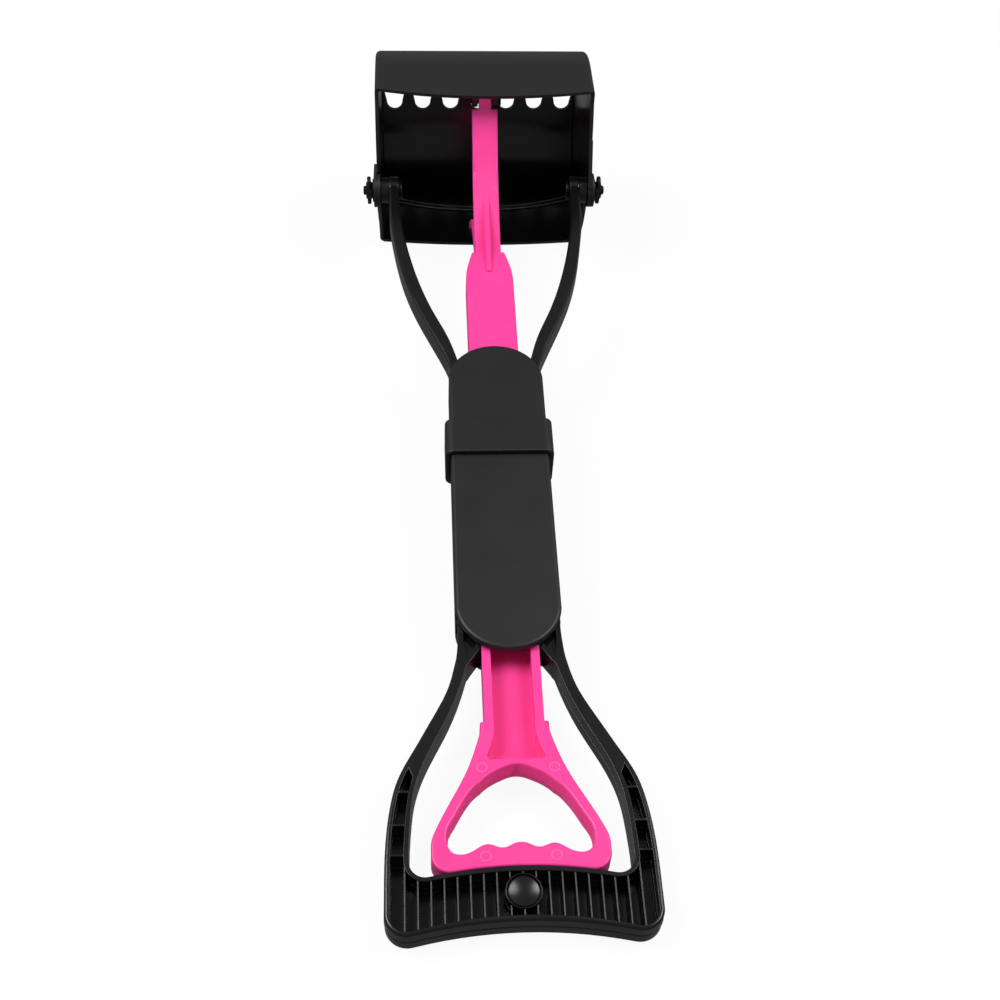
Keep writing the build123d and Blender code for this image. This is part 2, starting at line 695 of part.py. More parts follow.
def biarc(p0, t0, p1, t1):
    # Two arcs that join two points along their tangents.
    v = p1 - p0
    t = t0 + t1
    a = 2 * (1 - t0.dot(t1))
    b = 2 * v.dot(t)
    c = -v.dot(v)
    d = (-b + math.sqrt(b * b - 4 * a * c)) / (2 * a) if abs(a) > 1e-9 else -c / b
    q0 = p0 + t0 * d
    q1 = p1 - t1 * d
    joint = (q0 + q1) * 0.5
    heading = (q1 - q0).normalized()
    return [TangentArc(p0, joint, tangent=t0), TangentArc(joint, p1, tangent=heading)]


def spring_point(angle):
    rise = (spring_stop - spring_start - spring_wire) / (2 * math.pi * spring_turns)
    y = spring_start + spring_wire / 2 + rise * angle
    x = spring_mean_radius * math.cos(angle)
    z = spring_mean_radius * math.sin(angle)
    point = Vector(x, y, spring_height + z)
    tangent = Vector(-spring_mean_radius * math.sin(angle), rise, spring_mean_radius * math.cos(angle))
    return point, tangent.normalized()


def return_spring():
    # One unbroken wire, as quarter turns of two arcs each.
    edges = []
    steps = spring_turns * 4
    for i in range(steps):
        p0, t0 = spring_point(i * math.pi / 2)
        p1, t1 = spring_point((i + 1) * math.pi / 2)
        edges += biarc(p0, t0, p1, t1)
    path = Wire([part_edge for part in edges for part_edge in part.edges()])
    p0, t0 = spring_point(0)
    section = Plane(origin=p0, z_dir=t0) * Circle(spring_wire / 2)
    pitch = (spring_stop - spring_start - spring_wire) / spring_turns
    print("spring gap to itself", round(pitch - spring_wire, 2), "mm")
    return sweep(section, path=path)


def spring_seat():
    # Washer between the seat wall and the spring, notched for the tongue.
    seat = Rot(90, 0, 0) * (Cylinder(6.6, 0.8) - Cylinder(4.7, 2))
    return Pos(0, 322.0, spring_height) * seat


def build():
    handle_stop = fold_at - fold_gap
    back_start = cover_start - back_cover_lead
    parts = {
        "handle_frame": handle_frame(),
        "handle_front_cover": cover(cover_start, handle_stop, True),
        "handle_back_cover": back_cover(back_start, handle_stop, True, handle_screws_at),
        "handle_cover_screws": cover_screws(handle_screws_at),
        "fold_pin": fold_pin(),
        "lock_sleeve": lock_sleeve(),
        "trigger_handle": trigger_handle(),
        "fork_frame": fork_frame(),
        "fork_front_cover": cover(fold_at + fold_gap, cover_stop, False),
        "fork_back_cover": back_cover(fold_at + fold_gap, cover_stop, False, fork_screws_at),
        "fork_cover_screws": cover_screws(fork_screws_at),
        "yoke": yoke(),
        "return_spring": return_spring(),
        "spring_seat": spring_seat(),
        "front_jaw": jaw(),
        "front_jaw_pin": jaw_pin(1),
        "back_jaw_pin": jaw_pin(-1),
    }
    parts["back_jaw"] = back_from_front(parts["front_jaw"])
    washer = (washer_low(), washer_low() + washer_thick)
    bush = (eye_outer + 0.1, scoop_half_width - scoop_wall - 0.1)
    pivots = {"pivot_bolt": pivot_bolt(), "wing_nut": wing_nut(), "pivot_washer": ring(3.1, 7.5, *washer),
              "pivot_bush": ring(3.05, bush_radius, *bush)}
    for name, shape in pivots.items():
        parts["right_" + name] = shape
        parts["left_" + name] = mirror(shape, about=Plane.YZ)
    return parts


def lay_down(parts):
    # Turn the tool so that the grip's end and the back jaw's rim both touch Z = 0.
    reach = math.hypot(bowl_centre - rim_side, rim_height)
    lean = math.atan2(rim_height, rim_side - bowl_centre) - math.acos(bowl_radius / reach)
    low_y = rim_side - rim_bulge
    low_z = rim_height + rim_bulge / math.tan(lean)
    tilt = math.degrees(math.atan2(low_z - frame_half_thick, pivot_at + low_y - grip_rest_at))
    turned = {name: Rot(tilt, 0, 0) * shape for name, shape in parts.items()}
    boxes = [shape.bounding_box() for shape in turned.values()]
    low = [min(getattr(b.min, k) for b in boxes) for k in "XYZ"]
    high = [max(getattr(b.max, k) for b in boxes) for k in "XYZ"]
    move = Pos(-(low[0] + high[0]) / 2, -(low[1] + high[1]) / 2, -low[2])
    print("tilt", round(tilt, 4), "moved by", [round(v, 4) for v in move.position])
    print("overall size", [round(b - a, 2) for a, b in zip(low, high)])
    return {name: move * shape for name, shape in turned.items()}


def main():
    os.makedirs("parts", exist_ok=True)
    for name, shape in lay_down(build()).items():
        shape.label = name
        export_step(shape, os.path.join("parts", name + ".step"))


main()
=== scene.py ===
# Pooper scooper on a white studio floor, for Blender 4.5.
import json
import math
import bpy
import bmesh
from mathutils import Matrix, Vector
from mathutils.bvhtree import BVHTree

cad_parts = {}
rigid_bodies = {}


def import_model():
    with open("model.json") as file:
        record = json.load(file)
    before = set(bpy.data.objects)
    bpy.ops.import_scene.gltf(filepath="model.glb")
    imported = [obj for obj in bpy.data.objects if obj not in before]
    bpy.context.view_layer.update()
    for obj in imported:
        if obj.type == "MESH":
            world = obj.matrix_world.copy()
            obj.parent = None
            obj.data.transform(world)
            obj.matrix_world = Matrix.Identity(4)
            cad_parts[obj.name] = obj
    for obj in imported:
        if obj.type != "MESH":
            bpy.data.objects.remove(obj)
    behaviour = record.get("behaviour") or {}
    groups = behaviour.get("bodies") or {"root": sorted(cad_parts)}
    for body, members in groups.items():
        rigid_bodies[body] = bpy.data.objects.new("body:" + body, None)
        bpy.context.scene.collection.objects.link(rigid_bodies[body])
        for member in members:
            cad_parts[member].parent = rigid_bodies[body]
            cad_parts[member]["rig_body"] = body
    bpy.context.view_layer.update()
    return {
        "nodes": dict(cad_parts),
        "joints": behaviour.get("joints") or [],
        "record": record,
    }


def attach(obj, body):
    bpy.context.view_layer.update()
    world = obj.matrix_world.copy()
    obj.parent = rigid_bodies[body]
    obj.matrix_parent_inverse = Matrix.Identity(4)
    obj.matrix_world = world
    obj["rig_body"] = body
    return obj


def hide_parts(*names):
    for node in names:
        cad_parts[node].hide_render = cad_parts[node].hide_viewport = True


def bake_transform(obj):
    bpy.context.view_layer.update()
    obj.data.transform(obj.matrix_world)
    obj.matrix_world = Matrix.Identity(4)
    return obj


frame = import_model()
nodes = frame["nodes"]
joints = {joint["name"]: joint for joint in frame["joints"]}
slotOf = {part["node"]: part["material_slot"] for part in frame["record"]["subparts"]}
scene = bpy.context.scene
mm = 0.001

# The tool lies a little tilted, so places are in mm across, along and up, with the grip's end at 0.
across = Vector((1, 0, 0))
along = Vector(joints["trigger_slide"]["axis"])
up = across.cross(along)
pivot = Vector(joints["front_jaw_hinge"]["pos_m"])
toolTurn = Matrix((across, along, up)).transposed()
pivotAt = 519.0   # mm from the grip's end to the pivot
toWorld = (Matrix.Translation(pivot) @ toolTurn.to_4x4() @ Matrix.Scale(mm, 4)
           @ Matrix.Translation((0, -pivotAt, 0)))
fromWorld = toWorld.inverted()


def hexColour(code):
    # sRGB hex to the linear colour that Blender's sockets take
    parts = [int(code[i:i + 2], 16) / 255 for i in (1, 3, 5)]
    return [p / 12.92 if p <= 0.04045 else ((p + 0.055) / 1.055) ** 2.4 for p in parts] + [1.0]


def addNode(tree, kind, links=None, **settings):
    # one node: settings by attribute, links as {socket: a value, an output, or a node for its first output}
    node = tree.nodes.new(kind)
    for key, value in settings.items():
        setattr(node, key, value)
    for key, value in (links or {}).items():
        if isinstance(value, bpy.types.Node):
            value = value.outputs[0]
        if isinstance(value, bpy.types.NodeSocket):
            tree.links.new(value, node.inputs[key])
        else:
            node.inputs[key].default_value = value
    return node


def startMaterial(name):
    material = bpy.data.materials.new(name)
    material.use_nodes = True
    material.node_tree.nodes.clear()
    return material, material.node_tree


def mouldedPlastic(name, look):
    # Polypropylene from a mould: colour in the mass, a fine spark-eroded grain that breaks up the
    # reflections, and slow flow marks that make the gloss uneven; light seeps a few mm into pale colours
    material, tree = startMaterial(name)
    spot = addNode(tree, "ShaderNodeTexCoord").outputs["Object"]
    grain = addNode(tree, "ShaderNodeTexNoise", {"Vector": spot, "Scale": 1 / (look["grainSize"] * mm),
                                                 "Detail": 2.0, "Roughness": 0.6})
    flow = addNode(tree, "ShaderNodeTexNoise", {"Vector": spot, "Scale": 1 / (look["flowSize"] * mm),
                                                "Detail": 3.0, "Roughness": 0.5})
    tint = addNode(tree, "ShaderNodeMix", {"Factor": flow, "A": hexColour(look["colour"]),
                                           "B": hexColour(look["colourFlow"])}, data_type="RGBA")
    shine = addNode(tree, "ShaderNodeMapRange", {"Value": flow, "From Min": 0.3, "From Max": 0.7,
                                                 "To Min": look["roughness"] - look["roughnessSpread"],
                                                 "To Max": look["roughness"] + look["roughnessSpread"]})
    fine = addNode(tree, "ShaderNodeBump", {"Height": grain, "Strength": look["grainStrength"],
                                            "Distance": look["grainDepth"] * mm})
    shader = addNode(tree, "ShaderNodeBsdfPrincipled", {"Base Color": tint.outputs["Result"], "IOR": 1.49,
                                                        "Roughness": shine, "Normal": fine,
                                                        "Subsurface Weight": look.get("glow", 0.0),
                                                        "Subsurface Radius": (1.0, 0.25, 0.4),
                                                        "Subsurface Scale": 3 * mm})
    addNode(tree, "ShaderNodeOutputMaterial", {"Surface": shader})
    return material


def platedSteel(name, look):
    # Zinc-plated steel, blackened: dark grey metal with a faint cloudy passivation and fine scratches
    material, tree = startMaterial(name)
    spot = addNode(tree, "ShaderNodeTexCoord").outputs["Object"]
    cloud = addNode(tree, "ShaderNodeTexNoise", {"Vector": spot, "Scale": 1 / (look["cloudSize"] * mm),
                                                 "Detail": 3.0})
    tint = addNode(tree, "ShaderNodeMix", {"Factor": cloud, "A": hexColour(look["colour"]),
                                           "B": hexColour(look["colourCloud"])}, data_type="RGBA")
    scratch = addNode(tree, "ShaderNodeTexNoise", {"Vector": spot, "Scale": 1 / (look["scratchSize"] * mm),
                                                   "Detail": 1.0})
    rough = addNode(tree, "ShaderNodeMapRange", {"Value": scratch,
                                                 "To Min": look["roughness"] - look["roughnessSpread"],
                                                 "To Max": look["roughness"] + look["roughnessSpread"]})
    shader = addNode(tree, "ShaderNodeBsdfPrincipled", {"Base Color": tint.outputs["Result"], "Metallic": 1.0,
                                                        "Roughness": rough})
    addNode(tree, "ShaderNodeOutputMaterial", {"Surface": shader})
    return material


# The grip, arms and nuts come from a polished mould, the covers and jaws from a textured one.
glossLook = {"colour": "#0B0B0C", "colourFlow": "#0F0F10", "roughness": 0.25, "roughnessSpread": 0.03,
             "grainSize": 0.5, "grainStrength": 0.05, "grainDepth": 0.04, "flowSize": 22.0}
matteLook = {"colour": "#151516", "colourFlow": "#171718", "roughness": 0.43, "roughnessSpread": 0.03,
             "grainSize": 0.45, "grainStrength": 0.16, "grainDepth": 0.05, "flowSize": 40.0}
pinkLook = {"colour": "#FA3C98", "colourFlow": "#FC44A0", "roughness": 0.38, "roughnessSpread": 0.04,
            "grainSize": 0.5, "grainStrength": 0.10, "grainDepth": 0.05, "flowSize": 26.0, "glow": 0.35}
steelLook = {"colour": "#242426", "colourCloud": "#303134", "roughness": 0.38, "roughnessSpread": 0.06,
             "cloudSize": 3.0, "scratchSize": 0.3}
# the jaws' inside: a polished finish whose darker black is painted shade of the closed scoop
scoopShadeLook = {"colour": "#0D0D0E", "colourFlow": "#0F0F10", "roughness": 0.2, "roughnessSpread": 0.03,
             "grainSize": 0.6, "grainStrength": 0.02, "grainDepth": 0.04, "flowSize": 30.0}
# a paler black that paints the highlight along the bead's edges inside the jaws
beadHighlightLook = {"colour": "#5C5C5E", "colourFlow": "#707072", "roughness": 0.42, "roughnessSpread": 0.05,
              "grainSize": 0.5, "grainStrength": 0.1, "grainDepth": 0.05, "flowSize": 12.0}
glossBlack = mouldedPlastic("polishedBlackPolypropylene", glossLook)
beadHighlightBlack = mouldedPlastic("rubbedBlackPolypropylene", beadHighlightLook)
scoopShadeBlack = mouldedPlastic("polishedInsideBlackPolypropylene", scoopShadeLook)
matteBlack = mouldedPlastic("texturedBlackPolypropylene", matteLook)
pinkPlastic = mouldedPlastic("pinkPolypropylene", pinkLook)
# a paler pink that paints the highlight on the ejector marks' edges
markHighlightPink = mouldedPlastic("sharpEdgePinkPolypropylene", dict(pinkLook, colour="#FF74B8", colourFlow="#FF88C4"))
darkSteel = platedSteel("blackenedZincSteel", steelLook)
print("materials made")


# Every moulded or turned part: its CAD shape with the small edge radius that a mould or a lathe leaves.
# Each entry is the material and the edge radius in mm.
edgeDress = {
    "handle_frame": (glossBlack, 0.35), "fork_frame": (glossBlack, 0.4),
    "handle_front_cover": (matteBlack, 0.25), "handle_back_cover": (matteBlack, 0.25),
    "fork_front_cover": (matteBlack, 0.25), "fork_back_cover": (matteBlack, 0.25),
    "lock_sleeve": (matteBlack, 0.3), "front_jaw": (matteBlack, 0.3), "back_jaw": (matteBlack, 0.3),
    "trigger_handle": (pinkPlastic, 0.35), "yoke": (pinkPlastic, 0.25),
    "left_wing_nut": (glossBlack, 0.6), "right_wing_nut": (glossBlack, 0.6),
    "left_pivot_bush": (glossBlack, 0.4), "right_pivot_bush": (glossBlack, 0.4),
    "left_pivot_bolt": (darkSteel, 0.2), "right_pivot_bolt": (darkSteel, 0.2),
    "left_pivot_washer": (darkSteel, 0.15), "right_pivot_washer": (darkSteel, 0.15),
    "front_jaw_pin": (darkSteel, 0.3), "back_jaw_pin": (darkSteel, 0.3), "fold_pin": (darkSteel, 0.2)}

# How near points have to lie to be made one, in mm, and the angles in degrees that count as flat or sharp
meshCare = {"weld": 0.002, "weldRibs": 0.01, "weldEdges": 0.004, "cut": 1e-4, "flatUnder": 0.4, "sharpFrom": 50.0}
# The pocket in the grip's front, in mm
gripPocket = {"halfWidth": 55.5, "end": 38.0, "ribTop": 7.5, "slack": 0.05, "floor": -4.4}


def weld(shape, reach):
    bmesh.ops.remove_doubles(shape, verts=shape.verts[:], dist=reach * mm)
    bmesh.ops.dissolve_degenerate(shape, edges=shape.edges[:], dist=reach * mm)


def flattenRibs(shape):
    # the grip's ribs go down into the pocket's floor, where a row at the photo's places grows later
    for point in shape.verts:
        x, y, z = fromWorld @ point.co
        onTop = abs(z - gripPocket["ribTop"]) < gripPocket["slack"]
        if abs(x) < gripPocket["halfWidth"] and y < gripPocket["end"] and onTop:
            point.co = toWorld @ Vector((x, y, gripPocket["floor"]))
    weld(shape, meshCare["weldRibs"])


def between(table, at):
    # the value at a place in a table of (place, value) rows, straight between rows
    if at <= table[0][0]:
        return table[0][1]
    for (low, first), (high, second) in zip(table, table[1:]):
        if at <= high:
            return first + (second - first) * (at - low) / (high - low)
    return table[-1][1]


def cutAcross(shape, faces, spot, direction):
    # cuts faces along a plane, so that the new points can move
    parts = set(faces)
    for face in faces:
        parts.update(face.verts)
        parts.update(face.edges)
    bmesh.ops.bisect_plane(shape, geom=list(parts), dist=meshCare["cut"] * mm, plane_co=toWorld @ Vector(spot),
                           plane_no=direction)


# The finger window narrows to a blunt point, and its wall swells towards the parting line at half
# depth. Rows are half width at the wall and the way inwards in mm, at the faces and at half depth;
# the level rows make both sides of the top alike.
windowForm = {
    "near": 41.5, "far": 90.9, "aim": 50.0, "steep": 0.3, "swell": 5.8,
    "armMiddle": ((44, 37.5), (50, 38.0), (55, 36.6), (62.5, 33.9), (72.5, 28.9), (82.3, 23.2), (91, 20.0)),
    "atFaces": ((0, 0.3), (2, 0.4), (4, 0.7), (6, 1.15), (8, 1.65), (14, 2.9), (20, 4.0), (26, 2.9), (31.6, 1.4),
                (34.4, 0.0)),
    "atHalf": ((0, 2.6), (2, 2.7), (4, 3.0), (8, 3.85), (14, 4.95), (20, 5.3), (26, 3.7), (31.6, 2.1), (34.4, 0.6)),
    "level": ((-3, 0.0), (-2, -0.05), (-1, -0.12), (0, -0.2), (1, -0.3), (2, -0.37), (3, -0.46), (4, -0.56),
              (6, -0.74), (8, -0.82), (10, -0.79), (12, -0.73), (14, -0.61), (16, -0.48), (18, -0.2), (20, -0.08),
              (22, 0.17), (28, 0.2), (30, 0.07), (32, 0.0)),
    "bumps": ((0, 0.5), (4, 1.0), (8.4, 1.8), (12, 1.1), (16, 0.7), (22, 0.3), (27, 0.2), (32, 0.0))}


def inWindow(spot):
    if not windowForm["near"] < spot.y < windowForm["far"]:
        return False
    return abs(spot.x) < between(windowForm["armMiddle"], spot.y)


def pointWindow(shape):
    wall = [f for f in shape.faces if all(inWindow(fromWorld @ v.co) for v in f.verts)
            and abs(f.normal.dot(up)) < windowForm["steep"]]
    cutAcross(shape, wall, (0, 0, 0), up)
    for point in shape.verts:
        spot = fromWorld @ point.co
        if not inWindow(spot):
            continue
        share = max(0.0, 1 - abs(spot.z) / windowForm["swell"])
        if spot.y > windowForm["aim"]:
            side = abs(spot.x)
            spot.y += between(windowForm["level"], spot.x)
            reach = between(windowForm["atFaces"], side) * (1 - share) + between(windowForm["atHalf"], side) * share
            way = Vector((0, windowForm["aim"], spot.z)) - spot
            spot += way.normalized() * reach
        else:
            spot.y += between(windowForm["bumps"], abs(spot.x))
        point.co = toWorld @ spot


# The yoke's shoulders slope in towards the arms. Rows are place along and share of the CAD half width.
shoulderForm = {"inner": 8.6, "start": 424.0, "stop": 451.4, "cuts": (428.0, 432.0, 436.0, 440.0, 444.0),
                "narrow": ((424, 1.0), (432, 1.0), (437, 0.985), (441, 0.94), (445, 0.9), (448, 0.86), (450, 0.87),
                           (451.2, 0.99))}


def slopeShoulders(shape):
    for place in shoulderForm["cuts"]:
        cutAcross(shape, shape.faces[:], (0, place, 0), along)
    for point in shape.verts:
        spot = fromWorld @ point.co
        if abs(spot.x) > shoulderForm["inner"] and shoulderForm["start"] < spot.y < shoulderForm["stop"]:
            spot.x *= between(shoulderForm["narrow"], spot.y)
            point.co = toWorld @ spot


# The jaws' long rims are slightly warped, as thin mouldings come out. Each row holds the way along
# in mm at the middle, the tilt from side to side and the bow at the sides.
rimForm = {"halfWidth": 71.0, "from": 60.5, "front_jaw": (-1.2, -1.0, 2.6), "back_jaw": (2.3, -0.6, -1.7),
           "start": pivotAt + 30.0, "fade": 10.0, "slope": -0.116}


def warpRim(name):
    middle, tilt, bow = rimForm[name]

    def warp(shape):
        for point in shape.verts:
            spot = fromWorld @ point.co
            if abs(spot.z) < rimForm["from"] or spot.y > rimForm["start"]:
                continue
            side = spot.x / rimForm["halfWidth"]
            move = middle + tilt * side + bow * side * side
            move *= min(1.0, (rimForm["start"] - spot.y) / rimForm["fade"])
            spot += Vector((0, move, math.copysign(rimForm["slope"] * move, spot.z)))
            point.co = toWorld @ spot
    return warp


reshape = {"handle_frame": flattenRibs, "trigger_handle": pointWindow, "yoke": slopeShoulders,
           "front_jaw": warpRim("front_jaw"), "back_jaw": warpRim("back_jaw")}


def cleanCopy(name):
    # a merged copy of a CAD part's loose triangles, its flat faces made whole
    shape = bmesh.new()
    shape.from_mesh(nodes[name].data)
    bmesh.ops.remove_doubles(shape, verts=shape.verts[:], dist=meshCare["weld"] * mm)
    if name in reshape:
        reshape[name](shape)
    bmesh.ops.dissolve_limit(shape, angle_limit=math.radians(meshCare["flatUnder"]), verts=shape.verts[:],
                             edges=shape.edges[:])
    return shape


def finishPiece(piece, body, slotName, *replaced):
    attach(piece, body)
    if replaced:
        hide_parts(*replaced)


def roundEdges(shape, edge):
    # rounds the sharp edges, then lays any point that left the surface back on it
    skin = BVHTree.FromBMesh(shape)
    sharpFrom = math.radians(meshCare["sharpFrom"])
    sharp = [e for e in shape.edges if e.is_manifold and e.calc_face_angle(0) > sharpFrom]
    bmesh.ops.bevel(shape, geom=sharp, offset=edge * mm, offset_type="OFFSET", segments=2, profile=0.5,
                    affect="EDGES", clamp_overlap=False, loop_slide=True)
    for point in shape.verts:
        spot, normal, face, distance = skin.find_nearest(point.co)
        if distance > 0.5 * edge * mm:
            point.co = spot
    weld(shape, meshCare["weldEdges"])


# Parts with another finish inside, polished and painted darker as the shade inside the closed scoop: the point that
# their inner faces look towards, and that finish
scoopCentre = (0, 566, 0)
insidePolishedShaded = {"front_jaw": (scoopCentre, scoopShadeBlack), "back_jaw": (scoopCentre, scoopShadeBlack)}


def polishAndShadeInside(mesh, inside):
    centre, material = toWorld @ Vector(inside[0]), inside[1]
    mesh.materials.append(material)
    for face in mesh.polygons:
        if face.normal.dot(face.center - centre) < 0:
            face.material_index = 1


def dressPart(name, material, edge):
    shape = cleanCopy(name)
    roundEdges(shape, edge)
    mesh = bpy.data.meshes.new(name + "Shape")
    shape.to_mesh(mesh)
    shape.free()
    mesh.materials.append(material)
    if name in insidePolishedShaded:
        polishAndShadeInside(mesh, insidePolishedShaded[name])
    mesh.shade_smooth()
    words = name.split("_")
    piece = bpy.data.objects.new(words[0] + "".join(word.title() for word in words[1:]), mesh)
    scene.collection.objects.link(piece)
    shading = piece.modifiers.new("shading", "WEIGHTED_NORMAL")
    shading.weight = 50
    finishPiece(piece, nodes[name]["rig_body"], slotOf[name], name)


for name, (material, edge) in edgeDress.items():
    dressPart(name, material, edge)
print("dressed", len(edgeDress), "parts")


# Repeated and ruled forms, grown by Geometry Nodes
def startTree(name, sizes):
    tree = bpy.data.node_groups.new(name, "GeometryNodeTree")
    tree.interface.new_socket("Geometry", in_out="INPUT", socket_type="NodeSocketGeometry")
    tree.interface.new_socket("Geometry", in_out="OUTPUT", socket_type="NodeSocketGeometry")
    for label, value in sizes.items():
        kind = "NodeSocketInt" if isinstance(value, int) else "NodeSocketFloat"
        tree.interface.new_socket(label, in_out="INPUT", socket_type=kind)
    return tree, addNode(tree, "NodeGroupInput").outputs


def endTree(tree, result, material, smooth=True):
    shape = addNode(tree, "GeometryNodeRealizeInstances", {"Geometry": result})
    if smooth:
        shape = addNode(tree, "GeometryNodeSetShadeSmooth", {"Geometry": shape})
    painted = addNode(tree, "GeometryNodeSetMaterial", {"Geometry": shape, "Material": material})
    addNode(tree, "NodeGroupOutput", {"Geometry": painted})


def grow(name, tree, sizes, seed=None):
    # runs a tree, in mm in the tool's own directions, and returns the result as a plain mesh object
    start = bpy.data.meshes.new(name + "Seed")
    start.from_pydata(*(seed or ([], [], [])))
    piece = bpy.data.objects.new(name, start)
    scene.collection.objects.link(piece)
    growth = piece.modifiers.new("growth", "NODES")
    growth.node_group = tree
    for item in tree.interface.items_tree:
        if item.in_out == "INPUT" and item.name in sizes:
            growth[item.identifier] = sizes[item.name]
    bpy.context.view_layer.update()
    ready = piece.evaluated_get(bpy.context.evaluated_depsgraph_get())
    mesh = bpy.data.meshes.new_from_object(ready)
    piece.modifiers.clear()
    piece.data = mesh
    mesh.transform(toWorld)
    mesh.name = name + "Shape"
    return piece


def tubeAlong(tree, curve, radius, corners=12):
    ring = addNode(tree, "GeometryNodeCurvePrimitiveCircle", {"Resolution": corners, "Radius": radius})
    return addNode(tree, "GeometryNodeCurveToMesh", {"Curve": curve, "Profile Curve": ring, "Fill Caps": True})


def pointPlace(tree):
    # each point's place across, along and up
    place = addNode(tree, "GeometryNodeInputPosition")
    return addNode(tree, "ShaderNodeSeparateXYZ", {"Vector": place}).outputs


def centredRow(tree, count, step, height=0.0):
    # a row of points across the tool, half of them on each side
    gaps = addNode(tree, "ShaderNodeMath", {0: count, 1: 1.0}, operation="SUBTRACT")
    halfStep = addNode(tree, "ShaderNodeMath", {0: step, 1: -0.5}, operation="MULTIPLY")
    first = addNode(tree, "ShaderNodeMath", {0: gaps, 1: halfStep}, operation="MULTIPLY")
    start = addNode(tree, "ShaderNodeCombineXYZ", {"X": first, "Z": height})
    offset = addNode(tree, "ShaderNodeCombineXYZ", {"X": step})
    return addNode(tree, "GeometryNodeMeshLine", {"Count": count, "Start Location": start, "Offset": offset})


def copiesAt(tree, points, shape):
    copies = addNode(tree, "GeometryNodeInstanceOnPoints", {"Points": points, "Instance": shape})
    return addNode(tree, "GeometryNodeRealizeInstances", {"Geometry": copies})


# The grip's ribs: thin walls with rounded tops, between two bowed walls, broken by the thumb boss
ribSizes = {"Count": 19, "Pitch": 6.0, "NearMiddle": 12.6, "NearFall": 0.00243, "FarMiddle": 34.0,
            "FarFall": 0.00218, "RiseFrom": 42.0, "FarRise": 0.1, "Radius": 0.5, "Height": 6.95, "Depth": 11.6,
            "BossAt": 24.0, "BossClear": 8.7}
ribSteps = 40
ribTree, size = startTree("gripRibs", ribSizes)
ribRow = centredRow(ribTree, size["Count"], size["Pitch"], size["Height"])
oneRib = addNode(ribTree, "GeometryNodeMeshLine", {"Count": ribSteps + 1, "Offset": (0, 1 / ribSteps, 0)})
ribs = copiesAt(ribTree, ribRow, oneRib)
here = pointPlace(ribTree)
squareX = addNode(ribTree, "ShaderNodeMath", {0: here["X"], 1: here["X"]}, operation="MULTIPLY")
nearFall = addNode(ribTree, "ShaderNodeMath", {0: size["NearFall"], 1: squareX}, operation="MULTIPLY")
nearY = addNode(ribTree, "ShaderNodeMath", {0: size["NearMiddle"], 1: nearFall}, operation="SUBTRACT")
farFall = addNode(ribTree, "ShaderNodeMath", {0: size["FarFall"], 1: squareX}, operation="MULTIPLY")
farY = addNode(ribTree, "ShaderNodeMath", {0: size["FarMiddle"], 1: farFall}, operation="SUBTRACT")
sideways = addNode(ribTree, "ShaderNodeMath", {0: here["X"]}, operation="ABSOLUTE")
outside = addNode(ribTree, "ShaderNodeMath", {0: sideways, 1: size["RiseFrom"]}, operation="SUBTRACT")
outside = addNode(ribTree, "ShaderNodeMath", {0: outside, 1: 0.0}, operation="MAXIMUM")
rise = addNode(ribTree, "ShaderNodeMath", {0: outside, 1: outside}, operation="MULTIPLY")
rise = addNode(ribTree, "ShaderNodeMath", {0: rise, 1: size["FarRise"]}, operation="MULTIPLY")
farY = addNode(ribTree, "ShaderNodeMath", {0: farY, 1: rise}, operation="ADD")
spanY = addNode(ribTree, "ShaderNodeMath", {0: farY, 1: nearY}, operation="SUBTRACT")
partY = addNode(ribTree, "ShaderNodeMath", {0: spanY, 1: here["Y"]}, operation="MULTIPLY")
ribY = addNode(ribTree, "ShaderNodeMath", {0: nearY, 1: partY}, operation="ADD")
ribSpot = addNode(ribTree, "ShaderNodeCombineXYZ", {"X": here["X"], "Y": ribY, "Z": here["Z"]})
ribs = addNode(ribTree, "GeometryNodeSetPosition", {"Geometry": ribs, "Position": ribSpot})
ribPlace = addNode(ribTree, "GeometryNodeInputPosition")
bossSpot = addNode(ribTree, "ShaderNodeCombineXYZ", {"Y": size["BossAt"], "Z": size["Height"]})
toBoss = addNode(ribTree, "ShaderNodeVectorMath", {0: ribPlace, 1: bossSpot}, operation="DISTANCE").outputs["Value"]
inBoss = addNode(ribTree, "ShaderNodeMath", {0: toBoss, 1: size["BossClear"]}, operation="LESS_THAN")
ribs = addNode(ribTree, "GeometryNodeDeleteGeometry", {"Geometry": ribs, "Selection": inBoss})
ribLines = addNode(ribTree, "GeometryNodeMeshToCurve", {"Mesh": ribs})
ribLines = addNode(ribTree, "GeometryNodeSetCurveNormal", {"Curve": ribLines}, mode="Z_UP")
# the wall's section: a circle whose lower half is drawn down to the pocket's floor
ribRing = addNode(ribTree, "GeometryNodeCurvePrimitiveCircle", {"Resolution": 16, "Radius": size["Radius"]})
under = addNode(ribTree, "ShaderNodeMath", {0: pointPlace(ribTree)["Y"], 1: 0.0001}, operation="GREATER_THAN")
drop = addNode(ribTree, "ShaderNodeMath", {0: under, 1: size["Depth"]}, operation="MULTIPLY")
drop = addNode(ribTree, "ShaderNodeCombineXYZ", {"Y": drop})
ribSection = addNode(ribTree, "GeometryNodeSetPosition", {"Geometry": ribRing, "Offset": drop})
ribWalls = addNode(ribTree, "GeometryNodeCurveToMesh", {"Curve": ribLines, "Fill Caps": True,
                                                        "Profile Curve": ribSection})
endTree(ribTree, ribWalls, glossBlack)
finishPiece(grow("gripRibs", ribTree, ribSizes), "handle_half", "black_plastic")
print("grip ribs grown")

# The mould's parting line round the grip: a fine raised line at half depth, along the section's loops
partingSizes = {"Wire": 0.22}
partingReach = 140.0


